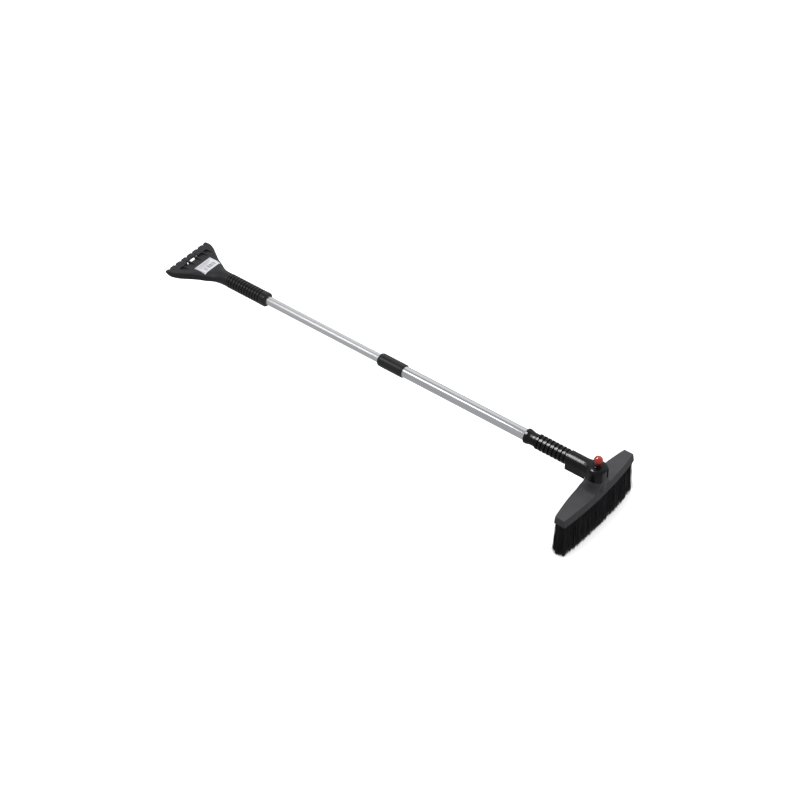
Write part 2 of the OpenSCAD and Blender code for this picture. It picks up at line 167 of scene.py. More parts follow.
def moulded(name, distance, low, high, cell):
    """Meshes the surface of a moulded piece on a grid of cubic cells."""
    low = np.asarray(low, float)
    counts = np.ceil((np.asarray(high, float) - low) / cell).astype(int) + 1
    axes = [low[i] + cell * np.arange(counts[i]) for i in range(3)]
    x, y, z = np.meshgrid(*axes, indexing="ij", sparse=True)
    value = np.broadcast_to(distance(x, y, z), counts).astype(np.float32)
    inside = value < 0
    crossed = np.zeros(counts - 1, np.int8)
    for c in CELL_CORNERS:
        crossed += inside[tuple(slice(c[i], counts[i] - 1 + c[i]) for i in range(3))]
    cells = np.argwhere((crossed > 0) & (crossed < 8))
    ids = np.full(counts - 1, -1, np.int32)
    ids[tuple(cells.T)] = np.arange(len(cells))
    corner = [value[tuple((cells + c).T)] for c in CELL_CORNERS]
    total = np.zeros((len(cells), 3))
    number = np.zeros(len(cells))
    for a, b in CELL_EDGES:
        cut = (corner[a] < 0) != (corner[b] < 0)
        share = np.where(cut, corner[a] / np.where(cut, corner[a] - corner[b], 1), 0)
        place = CELL_CORNERS[a] + share[:, None] * (CELL_CORNERS[b] - CELL_CORNERS[a])
        total += np.where(cut[:, None], place, 0)
        number += cut
    points = low + cell * (cells + total / number[:, None])
    points = settled(points, distance, cell)
    quads = []
    for axis in range(3):
        u, v = (axis + 1) % 3, (axis + 2) % 3
        first = [slice(None)] * 3
        second = [slice(None)] * 3
        first[axis], second[axis] = slice(0, -1), slice(1, None)
        a, b = inside[tuple(first)], inside[tuple(second)]
        where = np.argwhere(a != b)
        where = where[(where[:, u] > 0) & (where[:, v] > 0)]
        where = where[(where[:, u] < counts[u] - 1) & (where[:, v] < counts[v] - 1)]
        starts = a[tuple(where.T)]
        du, dv = np.zeros(3, int), np.zeros(3, int)
        du[u], dv[v] = 1, 1
        ring = [ids[tuple(w.T)] for w in (where - du - dv, where - dv, where, where - du)]
        quad = np.stack(ring, -1)
        quads.append(np.where(starts[:, None], quad, quad[:, ::-1]))
    obj = new_mesh(name, points, [np.concatenate(quads)])
    smooth(obj.data, 50.0)
    set_normals(obj.data, points, distance)
    return obj


SLOPE_STEP = 0.05
NORMAL_STEP = 0.12
SAME_WAY = 0.80


def differences(distance, points, step):
    """How much the distance grows along each axis, from a step before each point to a step after."""
    ahead_and_back = [(points + d, points - d) for d in np.eye(3) * step]
    return np.stack([distance(*ahead.T) - distance(*back.T) for ahead, back in ahead_and_back], -1)


def set_normals(mesh, points, distance):
    """Takes the shading of a moulded piece from its shape, except where a face lies across an edge."""
    slope = differences(distance, points, NORMAL_STEP)
    slope /= np.maximum(np.linalg.norm(slope, axis=1, keepdims=True), 1e-9)
    vertex = np.empty(len(mesh.loops), np.int32)
    mesh.loops.foreach_get("vertex_index", vertex)
    flat = np.empty(len(mesh.polygons) * 3, np.float32)
    mesh.polygons.foreach_get("normal", flat)
    corners = np.empty(len(mesh.polygons), np.int32)
    mesh.polygons.foreach_get("loop_total", corners)
    face = np.repeat(flat.reshape(-1, 3), corners, axis=0)
    at_corner = slope[vertex]
    close = (face * at_corner).sum(1) > SAME_WAY
    mesh.normals_split_custom_set(np.where(close[:, None], at_corner, face))


def settled(points, distance, cell):
    """Moves the points onto the surface along its slope, 0.35 of a cell at a time at most."""
    for _ in range(3):
        here = distance(*points.T)
        slope = differences(distance, points, SLOPE_STEP) / (2 * SLOPE_STEP)
        steep = np.maximum((slope**2).sum(1), 0.05)
        move = -(here / steep)[:, None] * slope
        length = np.maximum(np.linalg.norm(move, axis=1), 1e-9)
        points = points + move * np.minimum(1, 0.35 * cell / length)[:, None]
    return points


# ---------------------------------------------------- finishes


def node_material(name, colour, roughness, specular=0.5, metallic=0.0, coat=0.0):
    """A Principled material with its nodes, ready for detail."""
    material = bpy.data.materials.new(name)
    material.use_nodes = True
    shader = material.node_tree.nodes["Principled BSDF"]
    shader.inputs["Base Color"].default_value = (*colour, 1)
    shader.inputs["Roughness"].default_value = roughness
    shader.inputs["Specular IOR Level"].default_value = specular
    shader.inputs["Metallic"].default_value = metallic
    shader.inputs["Coat Weight"].default_value = coat
    shader.inputs["Coat Roughness"].default_value = 0.1
    return material, material.node_tree, shader


def noise(tree, scale, detail, stretch=(1, 1, 1)):
    """Noise over the piece's own shape. A larger scale is finer, in turns per metre."""
    place = tree.nodes.new("ShaderNodeTexCoord")
    mapping = tree.nodes.new("ShaderNodeMapping")
    mapping.inputs["Scale"].default_value = stretch
    texture = tree.nodes.new("ShaderNodeTexNoise")
    texture.inputs["Scale"].default_value = scale
    texture.inputs["Detail"].default_value = detail
    texture.inputs["Roughness"].default_value = 0.55
    tree.links.new(place.outputs["Object"], mapping.inputs["Vector"])
    tree.links.new(mapping.outputs["Vector"], texture.inputs["Vector"])
    return texture.outputs["Fac"]


def spread(tree, source, low, high, into, start=0.3, end=0.7):
    """Feeds a value between low and high into a socket."""
    ramp = tree.nodes.new("ShaderNodeMapRange")
    ramp.inputs["From Min"].default_value = start
    ramp.inputs["From Max"].default_value = end
    ramp.inputs["To Min"].default_value = low
    ramp.inputs["To Max"].default_value = high
    tree.links.new(source, ramp.inputs["Value"])
    tree.links.new(ramp.outputs["Result"], into)


def tinted(tree, source, dark, light, into):
    """Feeds a colour between two colours into a socket."""
    ramp = tree.nodes.new("ShaderNodeValToRGB")
    for element, position, colour in zip(ramp.color_ramp.elements, (0.3, 0.7), (dark, light)):
        element.position = position
        element.color = (*colour, 1)
    tree.links.new(source, ramp.inputs["Fac"])
    tree.links.new(ramp.outputs["Color"], into)


def bumped(tree, shader, source, strength, distance):
    """Raises the surface by a value, up to a height in metres."""
    bump = tree.nodes.new("ShaderNodeBump")
    bump.inputs["Strength"].default_value = strength
    bump.inputs["Distance"].default_value = distance
    tree.links.new(source, bump.inputs["Height"])
    tree.links.new(bump.outputs["Normal"], shader.inputs["Normal"])


def moulded_plastic(name, colour, roughness, grain=0.12, specular=0.5, coat=0.0, uneven=0.06):
    """Moulded plastic with a fine grain, faint flow marks and uneven gloss."""
    material, tree, shader = node_material(name, colour, roughness, specular, coat=coat)
    dark = tuple(0.86 * c for c in colour)
    light = tuple(1.14 * c for c in colour)
    tinted(tree, noise(tree, 28, 6), dark, light, shader.inputs["Base Color"])
    gloss = noise(tree, 60, 5)
    spread(tree, gloss, roughness - uneven, roughness + uneven, shader.inputs["Roughness"])
    bumped(tree, shader, noise(tree, 2600, 2), grain, 0.00008)
    return material


def drawn_metal(name, colour, roughness, lines=0.05, stretch=(0.02, 1, 1)):
    """Metal with fine lines along the way it was drawn."""
    material, tree, shader = node_material(name, colour, roughness, metallic=1.0)
    dark = tuple(0.93 * c for c in colour)
    light = tuple(min(1.0, 1.05 * c) for c in colour)
    scratches = noise(tree, 1500, 3, stretch)
    tinted(tree, noise(tree, 180, 4, stretch), dark, light, shader.inputs["Base Color"])
    spread(tree, scratches, roughness * 0.85, roughness * 1.2, shader.inputs["Roughness"])
    bumped(tree, shader, scratches, lines, 0.00003)
    return material


SCRAPER = moulded_plastic("scraper_plastic", (0.0135, 0.013, 0.0145), 0.36, 0.16, 0.36)
COVER = moulded_plastic("cover_plastic", (0.037, 0.036, 0.040), 0.44, 0.14, 0.35)
GLOSS = moulded_plastic("housing_plastic", (0.0019, 0.0018, 0.0024), 0.24, 0.01, 0.32, uneven=0.015)
SLEEVE = moulded_plastic("sleeve_plastic", (0.006, 0.0058, 0.0065), 0.26, 0.06, 0.55)
RUBBER = moulded_plastic("grip_rubber", (0.003, 0.0028, 0.0034), 0.24, 0.10, 0.6)
INNER_METAL = drawn_metal("inner_aluminium", (0.93, 0.93, 0.945), 0.33, 0.02)
OUTER_METAL = drawn_metal("outer_aluminium", (0.86, 0.86, 0.88), 0.13, 0.012)
STEEL = drawn_metal("steel", (0.50, 0.51, 0.53), 0.30, 0.10, (1, 1, 0.05))
RED = moulded_plastic("button_red", (0.27, 0.016, 0.009), 0.10, 0.01, 0.5, 0.8)
LOCK = moulded_plastic("lock_plastic", (0.022, 0.022, 0.025), 0.45)
NYLON = moulded_plastic("nylon", (0.60, 0.56, 0.46), 0.45)
BLOCK = moulded_plastic("block_plastic", (0.022, 0.022, 0.025), 0.50)


def bristle_material():
    """Black filament. Each one is a little lighter or darker than the next, by its place."""
    material, tree, shader = node_material("bristle", (0.008, 0.008, 0.0095), 0.45, 0.3)
    mix = tree.nodes.new("ShaderNodeMix")
    mix.data_type = "RGBA"
    filaments = noise(tree, 900, 3, (1, 1, 0.03))
    tinted(tree, filaments, (0.0015, 0.0015, 0.002), (0.010, 0.0097, 0.0125), mix.inputs["A"])
    mix.inputs["B"].default_value = (0.075, 0.075, 0.085, 1)
    # The cut tips are painted paler, from 1.2 to 3.4 mm above the ground: a painted highlight for the
    # light the tips catch.
    place = tree.nodes.new("ShaderNodeTexCoord")
    split = tree.nodes.new("ShaderNodeSeparateXYZ")
    tree.links.new(place.outputs["Object"], split.inputs["Vector"])
    spread(tree, split.outputs["Z"], 1.0, 0.0, mix.inputs["Factor"], 0.0012, 0.0034)
    tree.links.new(mix.outputs["Result"], shader.inputs["Base Color"])
    spread(tree, noise(tree, 700, 2, (1, 1, 0.05)), 0.34, 0.55, shader.inputs["Roughness"])
    return material


BRISTLE = bristle_material()


def paper_material(name, colour):
    material, tree, shader = node_material(name, colour, 0.5, 0.4)
    dark = tuple(0.93 * c for c in colour)
    tinted(tree, noise(tree, 220, 5), dark, colour, shader.inputs["Base Color"])
    bumped(tree, shader, noise(tree, 900, 3), 0.06, 0.00006)
    return material


PAPER = paper_material("label_print", (0.44, 0.44, 0.46))
INK = paper_material("label_ink", (0.06, 0.06, 0.07))
PALE_INK = paper_material("label_pale_ink", (0.15, 0.15, 0.165))


def finish_piece(obj, body, slot, material, *nodes):
    """Gives a piece its finish, and the body and the CAD nodes that it goes with."""
    if material is not None:
        obj.data.materials.clear()
        obj.data.materials.append(material)
    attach(obj, body)
    if nodes:
        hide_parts(*nodes)
    return obj


# ---------------------------------------------------- scraper head

BLADE_HALF = head_high[1]
SKIN = 3.2
NECK_R = 13.8
RIB_PITCH = 18.5
RIB_HALF = 1.5
TOOTH_PITCH = 16.1
NOTCH_DEEP = 5.0
SLOT_REACH = 15
POCKET_REACH = 39
POCKET_START = 19.5
HOLLOW_START, HOLLOW_END = 9, 84
TURN_START, TURN_LONG = 72, 42
SPIGOT_R, SPIGOT_LONG = 7.65, 40
PIN_R, PIN_U = 2, 22


def eased(table, blur=3.0):
    """A curve through a table of places and values, with its corners eased."""
    places = np.arange(-20, 200, 0.5)
    values = np.interp(places, *zip(*table))
    reach = np.arange(-12, 12.5, 0.5)
    weight = np.exp(-((reach / blur) ** 2))
    padded = np.pad(values, len(reach) // 2, mode="edge")
    return places, np.convolve(padded, weight / weight.sum(), "valid")


# At places behind the tooth tips: the top and the bottom from the handle axis, and the bevel's width.
TOP = eased(
    [(-20, 0.9), (0, 1.9), (10, 4.2), (22, 5.6), (60, 8), (88, 9.6), (118, 13.8), (160, 13.8)]
)
BOTTOM = eased(
    [(-20, -1), (0, -1.6), (5, -4.4), (11, -6.9), (30, -8.2), (70, -8.8), (118, -13.8), (160, -13.8)]
)
BEVEL = eased(
    [(-20, 0.8), (30, 1), (48, 2.5), (60, 7.5), (72, 9), (90, 11), (118, 13.8), (160, 13.8)]
)


def half_width(u):
    """Half the head's width at a place behind the tooth tips."""
    return 8 + (BLADE_HALF - 8) / (1 + (np.maximum(u, 0) / 56.8) ** 2.62)


def scraper_distance(x, y, z):
    """The scraper head, with u counted from the tooth tips and h from the handle axis."""
    u, h, side = x + REACH, z - AXIS_Z, np.abs(y)
    wide, top, bottom = half_width(u), np.interp(u, *TOP), np.interp(u, *BOTTOM)
    slope = (half_width(u + 0.5) - half_width(u - 0.5)) ** 2
    d_side = (side - wide) / np.sqrt(1 + slope)
    edge = np.interp(u, [0, 30, 70, 118], [0.7, 1.1, 2.5, 9.0])
    body = soft_max(d_side, soft_max(h - top, bottom - h, 1.0), edge)
    rim = wide - np.interp(u, *BEVEL)
    body = soft_max(body, ((side - rim) * 0.42 + (h - top)) / 1.085, 0.6)
    # The section turns round towards the neck.
    turn = np.clip((u - TURN_START) / TURN_LONG, 0, 1)
    turn = turn * turn * (3 - 2 * turn)
    body = body * (1 - turn) + (np.hypot(y, h) - NECK_R) * turn
    body = soft_max(body, -u, 0.9)
    body = soft_max(body, u - NECK_U, 0.6)
    # The hollow underneath.
    hollow = soft_max(d_side + SKIN, h - (top - SKIN), 2.0)
    dip = np.interp(u, [9, 14, 18, 23, 42, 60, 84], [0.8, 1.4, -1.6, -1.6, 3.2, 4.8, 3.5])
    hollow = np.maximum(hollow, np.maximum(h - dip, np.maximum(HOLLOW_START - u, u - HOLLOW_END)))
    body = soft_max(body, -hollow, 0.6)
    # Pockets with ribs between them, and the slot in front.
    floor = 1.4 + (u - POCKET_START) * 5.6 / 21.5
    k = np.clip(np.round(y / RIB_PITCH), -2, 2)
    lane = np.abs(y - k * RIB_PITCH) - (RIB_PITCH / 2 - RIB_HALF)
    ends = np.maximum(floor - h, POCKET_START - u)
    pocket = soft_max(np.maximum(lane, side - POCKET_REACH), ends, 0.5)
    body = soft_max(body, -pocket, 0.5)
    ends = np.maximum(np.abs(u - 17) - 3, -4 - h)
    slot = np.maximum(np.maximum(lane, side - SLOT_REACH), ends)
    body = soft_max(body, -slot, 0.4)
    # Blunt notches between the teeth.
    n = np.clip(np.round(y / TOOTH_PITCH), -3, 3)
    notch_half = 2.75 - 0.36 * np.clip(u, -2, 5)
    notch = soft_max(np.abs(y - n * TOOTH_PITCH) - notch_half, u - NOTCH_DEEP, 0.7)
    body = soft_max(body, -notch, 0.35)
    # The spigot inside the inner tube, with the hole for the cross pin.
    ends = np.maximum(NECK_U - 6 - u, u - NECK_U - SPIGOT_LONG)
    body = np.minimum(body, np.maximum(np.hypot(y, h) - SPIGOT_R, ends))
    return np.maximum(body, PIN_R - np.hypot(u - NECK_U - PIN_U, y))


MARGIN = 2.5
head = moulded("scraper_moulding", scraper_distance, head_low - MARGIN, head_high + MARGIN, 0.75)
finish_piece(head, "extension", "scraper_plastic", SCRAPER, "scraper_head")


def label_patch():
    """The label lies on the head and bends over its edge. Bars and blocks stand in for its print."""
    low, high = label_low[:2], label_high[:2]
    centre = (low + high) / 2
    half = (high - low) / 2 + (0.6, 1.2)
    across, down = 34, 46
    columns, rows = np.linspace(-1, 1, across + 1), np.linspace(-1, 1, down + 1)
    s, t = np.meshgrid(columns, rows, indexing="ij")
    x, y = centre[0] + half[0] * s, centre[1] + half[1] * t
    clear = 0.12
    z = np.interp(x + REACH, *TOP) + AXIS_Z + clear
    for _ in range(12):
        z = z - np.clip(scraper_distance(x, y, z) - clear, -0.3, 0.6)
    upper = np.stack([x, y, z + 0.25], -1).reshape(-1, 3)
    lower = np.stack([x, y, z - 0.05], -1).reshape(-1, 3)
    ids = np.arange(upper.shape[0]).reshape(across + 1, down + 1)
    face = np.stack([ids[:-1, :-1], ids[1:, :-1], ids[1:, 1:], ids[:-1, 1:]], -1).reshape(-1, 4)
    rim = np.concatenate([ids[:-1, 0], ids[-1, :-1], ids[:0:-1, -1], ids[0, :0:-1]])
    after = np.roll(rim, -1)
    count = len(upper)
    skirt = np.stack([rim, rim + count, after + count, after], -1)
    faces = [face, face[:, ::-1] + count, skirt]
    obj = new_mesh("printed_label", np.concatenate([upper, lower]), faces)
    for material in (PAPER, INK, PALE_INK):
        obj.data.materials.append(material)
    # In each cell of the label: 0 is paper, 1 is ink and 2 is pale ink.
    ink = np.zeros((across, down), np.int32)
    ink[3, 2:-2] = 1
    ink[6:9:2, 5:-8] = 2
    ink[11, 5:-14] = 2
    ink[14, 5:-20] = 2
    ink[17:29, 8:16] = 2
    ink[17:29:2, 8:16] = 0
    for column in (19, 21, 22, 25, 27, 28, 31, 33, 36, 37):
        ink[17:28, column] = 1
    ink[2:-2, 1] = 2
    indexes = np.concatenate([ink.ravel(), np.zeros(len(face) + len(skirt), np.int32)])
    obj.data.polygons.foreach_set("material_index", indexes)
    smooth(obj.data, 50)
    return obj


finish_piece(label_patch(), "extension", "label_print", None, "scraper_label")

# ---------------------------------------------------- hand grip and tubes


def rounded(outline, radius=0.5, steps=4):
    """Rounds the corners of a closed outline."""
    outline = np.asarray(outline, float)
    done = []
    for i, point in enumerate(outline):
        before = outline[i - 1] - point
        after = outline[(i + 1) % len(outline)] - point
        reach_a, reach_b = np.linalg.norm(before), np.linalg.norm(after)
        reach = min(radius, 0.45 * reach_a, 0.45 * reach_b)
        a, b = point + before / reach_a * reach, point + after / reach_b * reach
        for s in np.linspace(0, 1, steps + 1):
            done.append((1 - s) ** 2 * a + 2 * s * (1 - s) * point + s * s * b)
    return done


GRIP_R = (grip_high[1] - grip_low[1]) / 2
GRIP_PITCH, GRIP_RINGS, GRIP_GROOVE = 6.75, 12, 2.4
INNER_WALL, OUTER_WALL = 1.1, 1.4


def grip_outline():
    """Rings from the head's end on, then a smooth collar."""
    x0, x1 = grip_low[0], grip_high[0]
    valley = GRIP_R - GRIP_GROOVE
    points = [(x0, INNER_R + 0.05), (x0, valley)]
    for k in range(GRIP_RINGS):
        middle = x0 + GRIP_PITCH * (k + 0.5)
        points += [
            (middle - 2.7, valley), (middle - 2.25, GRIP_R - 0.2),
            (middle + 2.25, GRIP_R - 0.2), (middle + 2.7, valley),
        ]
    return points + [
        (x1 - 15.2, valley), (x1 - 14.4, GRIP_R), (x1 - 2, GRIP_R), (x1, GRIP_R - 1.4),
        (x1, INNER_R + 1.2), (x1 - 1, INNER_R + 0.05),
    ]


grip = revolve("ribbed_grip", rounded(grip_outline(), 0.5), True)
finish_piece(grip, "extension", "grip_rubber", RUBBER, "hand_grip")


def tube(name, low, high, radius, wall):
    """A plain tube with its ends broken."""
    outline = [(low, radius - wall), (low, radius), (high, radius), (high, radius - wall)]
    return revolve(name, rounded(outline, 0.3), True, 160)


inner = tube("inner_tube_drawn", inner_low[0], inner_high[0], INNER_R, INNER_WALL)
finish_piece(inner, "extension", "inner_aluminium", INNER_METAL, "inner_tube")
outer = tube("outer_tube_drawn", tube_low[0], tube_high[0], OUTER_R, OUTER_WALL)
finish_piece(outer, "handle", "outer_aluminium", OUTER_METAL, "outer_tube")

MOUTH_R = (mouth_high[1] - mouth_low[1]) / 2
m0, m1 = mouth_low[0], mouth_high[0]
mouth = revolve(
    "mouth_collar",
    rounded(
        [
            (m0 + 5, INNER_R + 0.05), (m0, INNER_R + 0.05), (m0, INNER_R + 1.3),
            (m0 + 1.4, MOUTH_R - 1.0), (m0 + 4.5, MOUTH_R - 0.1), (m0 + 12, MOUTH_R),
            (m1 - 4.2, MOUTH_R), (m1 - 3.8, MOUTH_R - 0.35), (m1 - 3.2, MOUTH_R - 0.35),
            (m1 - 2.8, MOUTH_R), (m1 - 0.4, MOUTH_R), (m1, MOUTH_R - 0.4),
            (m1, OUTER_R + 0.02), (m0 + 5, OUTER_R + 0.02),
        ],
        0.8,
    ),
    True,
    160,
)
finish_piece(mouth, "handle", "sleeve_plastic", SLEEVE, "mouth_sleeve")

# ---------------------------------------------------- brush-side grip and pivot housing

CUP_R = house_high[1]
CUP_TOP = house_high[2] - AXIS_Z
FLANGE_X = house_low[0]
CHANNEL_X = -60.0
CHANNEL_R = 15.3
CHANNEL_LOW = -16.4
RIB_R, RIB_FOOT_R = 14.7, 12.0
RIB_COUNT, RIB_STEP, FIRST_RIB_X = 8, 8.45, -126.2
CUP_LOW = -8.7
WALL = 2.3
CUP_BORE = CUP_R - WALL
PLATE_H = 13
HUB_R = 5
FLARE_START, FLARE_END = -24, -4.5
WINDOW_HALF = math.radians(28)


def rib_table():
    """Radius along the ribbed grip."""
    x = np.arange(FLANGE_X - 5, CHANNEL_X + 5, 0.1)
    neck = np.interp(
        x,
        FLANGE_X + np.array([0, 0.8, 5.5, 8, 12, 18, 22.5, 27]),
        [13.9, 14.4, 14.4, 13.6, 12.7, 12.3, 12.5, 13.0],
    )
    for k in range(RIB_COUNT):
        away = np.abs(x - (FIRST_RIB_X + RIB_STEP * k))
        rise = np.clip(2.8 - away, 0, 1)
        neck = np.where(away < 4.3, np.minimum(neck, RIB_FOOT_R), neck)
        neck = np.maximum(neck, RIB_FOOT_R + (RIB_R - RIB_FOOT_R) * rise * rise * (3 - 2 * rise))
    return x, np.where(x > CHANNEL_X - 4, np.maximum(neck, 13.4), neck)


RIBS = rib_table()


def housing_distance(x, y, z):
    """The ribbed grip, the arched channel and the round pivot cup, with h from the handle axis."""
    h = z - AXIS_Z
    out = np.hypot(y, h)
    arch = np.where(h > 0, out, np.abs(y))
    from_pivot = np.hypot(x, y)
    bar = (out - np.interp(x, *RIBS)) * 0.85
    bar = soft_max(bar, np.maximum(FLANGE_X - x, x - (CHANNEL_X + 4)), 0.9)
    channel = soft_max(arch - CHANNEL_R, CHANNEL_LOW - h, 0.8)
    channel = soft_max(channel, np.maximum(CHANNEL_X - x, x), 1.0)
    body = soft_min(bar, channel, 0.8)
    cup = soft_max(from_pivot - CUP_R, h - CUP_TOP, 10.0)
    cup = soft_max(cup, CUP_LOW - h, 0.6)
    # The side walls spread from the channel to the cup.
    wide = np.interp(x, [FLARE_START, FLARE_END], [CHANNEL_R, CUP_R - 0.5])
    flare = soft_max(arch - wide, h - CHANNEL_R, 1.0)
    flare = np.maximum(flare, CUP_LOW - h)
    flare = np.maximum(flare, np.maximum(FLARE_START - x, x - FLARE_END))
    body = soft_min(soft_min(body, flare, 0.8), cup, 1.2)
    # The socket for the outer tube and the hole for its screw.
    body = np.maximum(body, -np.maximum(out - OUTER_R, x - CHANNEL_X))
    body = np.maximum(body, -np.maximum(out - 2.2, x - (CHANNEL_X + 5)))
    # The hollow of the channel, the cup's bore with its chamfer, and the room for the shoulder.
    inner_arch = arch - (CHANNEL_R - WALL)
    body = soft_max(body, -np.maximum(inner_arch, np.maximum(CHANNEL_X + 4 - x, x)), 0.4)
    chamfer = ((from_pivot - CUP_BORE) * 2.6 + (h - 10.4) * 2.8) / 3.82
    bore = np.maximum(from_pivot - CUP_BORE, chamfer)
    body = soft_max(body, -np.maximum(bore, h - PLATE_H), 0.4)
    body = soft_max(body, -np.maximum(from_pivot - (CUP_R + 2.1), h - CUP_LOW), 0.4)
    # The opening in the front of the cup, and the hole for the bush.
    side = (np.abs(y) - x * math.tan(WINDOW_HALF)) * math.cos(WINDOW_HALF)
    body = soft_max(body, -np.maximum(np.maximum(side, -x), h - 12.6), 0.6)
    return np.maximum(body, HUB_R - from_pivot)


housing = moulded(
    "grip_and_pivot_housing", housing_distance, house_low - MARGIN, house_high + MARGIN, 0.65
)
finish_piece(housing, "handle", "housing_plastic", GLOSS, "grip_housing")

BUSH_BORE = 3.05
bush_top, bush_bottom, cup_face = bush_high[2], bush_low[2], AXIS_Z + CUP_TOP
bush = revolve(
    "button_collar",
    rounded(
        [
            (bush_bottom, BUSH_BORE), (bush_bottom, HUB_R), (cup_face, HUB_R), (cup_face, 7.9),
            (cup_face + 0.6, 8.3), (bush_top - 0.2, 7.6), (bush_top, 6.6), (bush_top, BUSH_BORE),
        ],
        0.5,
    ),
    False,
    96,
)
finish_piece(bush, "handle", "housing_plastic", GLOSS, "pivot_bush")

# ---------------------------------------------------- red button and its spring

BALL_R = (ball_high[1] - ball_low[1]) / 2
BALL_Z = ball_high[2] - BALL_R
STEM_R, WELL_R = 3.0, 5.0


def button_outline():
    """The ball and its short skirt, with the well for the spring and the seat of the stem."""
    turn = np.radians(np.linspace(-44, 90, 40))
    ball = [(BALL_Z + BALL_R * math.sin(a), max(BALL_R * math.cos(a), 0.02)) for a in turn]
    seat = [(BALL_Z + 4.5, 0.02), (BALL_Z + 4.5, STEM_R)]
    well = [(BALL_Z + 0.2, STEM_R), (BALL_Z + 0.2, WELL_R), (ball_low[2], WELL_R)]
    skirt = [(ball_low[2], 5.9), (ball_low[2] + 0.3, 6.05)]
    return skirt + ball + seat + well


button = revolve("ball_button", button_outline(), False, 96, 40)
finish_piece(button, "release_button", "button_red", RED, "release_button")


def coil():
    """The spring's wire, wound from its lower end to its upper end."""
    turns, steps, sides, coil_r, wire = 6, 28, 10, 4.1, 0.55
    low, high = spring_low[2] + wire, spring_high[2] - wire
    a = np.arange(turns * steps + 1) * 2 * math.pi / steps
    b = np.arange(sides) * 2 * math.pi / sides
    r = coil_r + wire * np.cos(b)[None, :]
    z = low + (high - low) * (a / a[-1])[:, None] + wire * np.sin(b)[None, :]
    points = np.stack([r * np.cos(a)[:, None], r * np.sin(a)[:, None], z], -1).reshape(-1, 3)
    ids = np.arange(len(points)).reshape(-1, sides)
    nxt = np.roll(ids, -1, 1)
    quads = np.stack([ids[:-1], ids[1:], nxt[1:], nxt[:-1]], -1).reshape(-1, 4)
    obj = new_mesh("spring_coil", points, [quads, ids[:1], ids[-1:, ::-1]])
    smooth(obj.data, 60)
    return obj


spring = coil()
finish_piece(spring, "handle", "steel", STEEL, "button_spring")
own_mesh(spring)

# ---------------------------------------------------- brush head

BRUSH_HALF = cover_high[1]
SKIRT_Z = cover_low[2]
TURRET_TOP = cover_high[2]
DECK_Z = SKIRT_Z + 16
# How far the middle of the rear and the front edge stand out, and how far their ends fall back.
REAR_BULGE, FRONT_BULGE, REAR_SAG, FRONT_SAG = 25.5, 16.5, 11.5, 7.0
REAR_R = (BRUSH_HALF**2 + REAR_SAG**2) / (2 * REAR_SAG)
FRONT_R = (BRUSH_HALF**2 + FRONT_SAG**2) / (2 * FRONT_SAG)
COVER_WALL = 1.8
SHOULDER_Z = AXIS_Z + CUP_LOW - 0.8
TURRET_R = CUP_BORE - 0.3
TURRET_ROOM = TURRET_TOP - 3.8
# The shoulder's radius at heights above 60 mm.
SHOULDER = eased(
    [
        (0, 40), (DECK_Z - 63, 36), (DECK_Z - 60, 31), (DECK_Z - 58.7, 27.5), (DECK_Z - 56, 25),
        (DECK_Z - 51.5, 22.8), (DECK_Z - 46, 21.4), (DECK_Z - 41, 20.6),
        (SHOULDER_Z - 60, 19.9), (140, 19.9),
    ],
    1.2,
)


def lens_distance(x, y, z, inset, high):
    """Inside two large arcs that lean in towards the top, and below a level top."""
    rise = np.clip((z - SKIRT_Z) / (DECK_Z - SKIRT_Z), -0.1, 1.1)
    rear = np.hypot(x - (REAR_R - REAR_BULGE), y) - (REAR_R - inset - 1.25 * rise)
    front = np.hypot(x - (FRONT_BULGE - FRONT_R), y) - (FRONT_R - inset - 2.5 * rise)
    ends = np.abs(y) - (BRUSH_HALF - inset - 0.4 * rise)
    plan = soft_max(np.maximum(rear, front), ends, 0.8)
    return soft_max(plan, z - high, 0.9)


def cover_distance(x, y, z):
    """The cover, its shoulder and its turret, with the hollow for the block and the clutch's bore."""
    radius = np.hypot(x, y)
    body = soft_max(lens_distance(x, y, z, 0.0, DECK_Z), SKIRT_Z - z, 0.6)
    shoulder = (radius - np.interp(z - 60, *SHOULDER)) * 0.8
    shoulder = soft_max(shoulder, z - SHOULDER_Z, 1.0)
    front = x - (13.2 + (z - DECK_Z) * 0.19)
    rear = -24.0 - x
    shoulder = soft_max(shoulder, np.maximum(front, rear), 1.5)
    shoulder = np.maximum(shoulder, DECK_Z - 4 - z)
    body = soft_min(body, shoulder, 3.0)
    turret = soft_max(radius - TURRET_R, z - TURRET_TOP, 0.4)
    chamfer = ((radius - TURRET_R) * 2.3 + (z - TURRET_TOP + 2.3) * 2.5) / 3.4
    turret = np.maximum(turret, chamfer)
    turret = np.maximum(turret, DECK_Z - 3 - z)
    body = soft_min(body, turret, 0.6)
    hollow = lens_distance(x, y, z, COVER_WALL, DECK_Z - COVER_WALL)
    body = soft_max(body, -hollow, 0.5)
    steps = [SKIRT_Z, AXIS_Z - 5, AXIS_Z - 4.9, AXIS_Z + 0.5, TURRET_ROOM]
    bore = np.interp(z, steps, [11.6, 11.6, 11.1, 8.7, 8.6])
    body = np.maximum(body, -np.maximum(radius - bore, z - TURRET_ROOM))
    return np.maximum(body, HUB_R + 0.05 - radius)


cover = moulded("brush_cover_moulding", cover_distance, cover_low - MARGIN, cover_high + MARGIN, 0.75)
finish_piece(cover, "brush_head", "cover_plastic", COVER, "brush_cover")

ROOT_Z = block_low[2] + 4
ROWS, TUFTS = 4, 48
random = np.random.default_rng(7)


def edge_x(y, bulge, sag, way):
    """Where the rear or the front edge of the cover lies."""
    return way * (bulge - sag * (y / BRUSH_HALF) ** 2)


